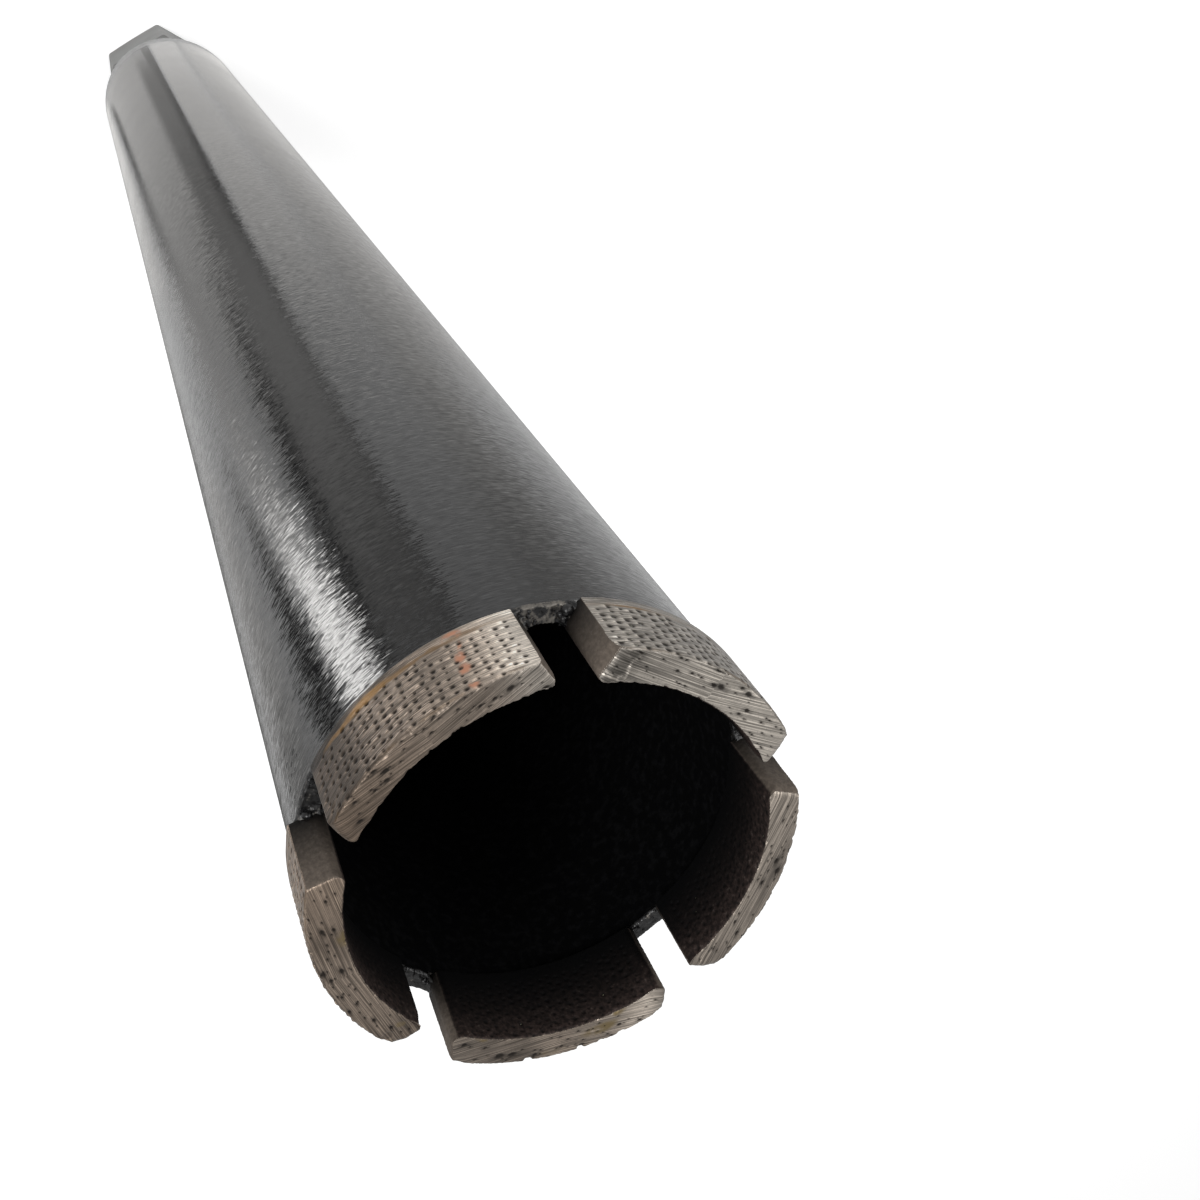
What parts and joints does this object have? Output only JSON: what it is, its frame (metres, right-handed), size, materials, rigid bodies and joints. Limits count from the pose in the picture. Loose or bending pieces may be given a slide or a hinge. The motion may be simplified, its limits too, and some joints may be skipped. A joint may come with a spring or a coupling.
{
  "type": "diamond core bit",
  "caption": "Long thin-walled core bit with soldered diamond segments at its mouth and a threaded hexagon hub, for wet drilling of round cores.",
  "frame": {"origin": "centre of the hub's end face, on which the bit stands", "axes": "+Z along the bit's axis, from the hub to the cutting mouth; segment_1 is centred about 45 degrees from +X towards +Y"},
  "size_m": [0.0527, 0.053, 0.5261],
  "materials": {
    "black_paint": "semi-gloss black paint over a turned steel tube",
    "sintered_metal": "ground, warm grey sintered metal with rows of small grit pits",
    "solder": "dull silver solder, partly painted over"
  },
  "bodies": {
    "root": {"barrel": "black_paint", "hub": "black_paint", "segment_1": "sintered_metal", "segment_2": "sintered_metal", "segment_3": "sintered_metal", "segment_4": "sintered_metal", "segment_5": "sintered_metal", "solder_1": "solder", "solder_2": "solder", "solder_3": "solder", "solder_4": "solder", "solder_5": "solder"}
  },
  "joints": []
}
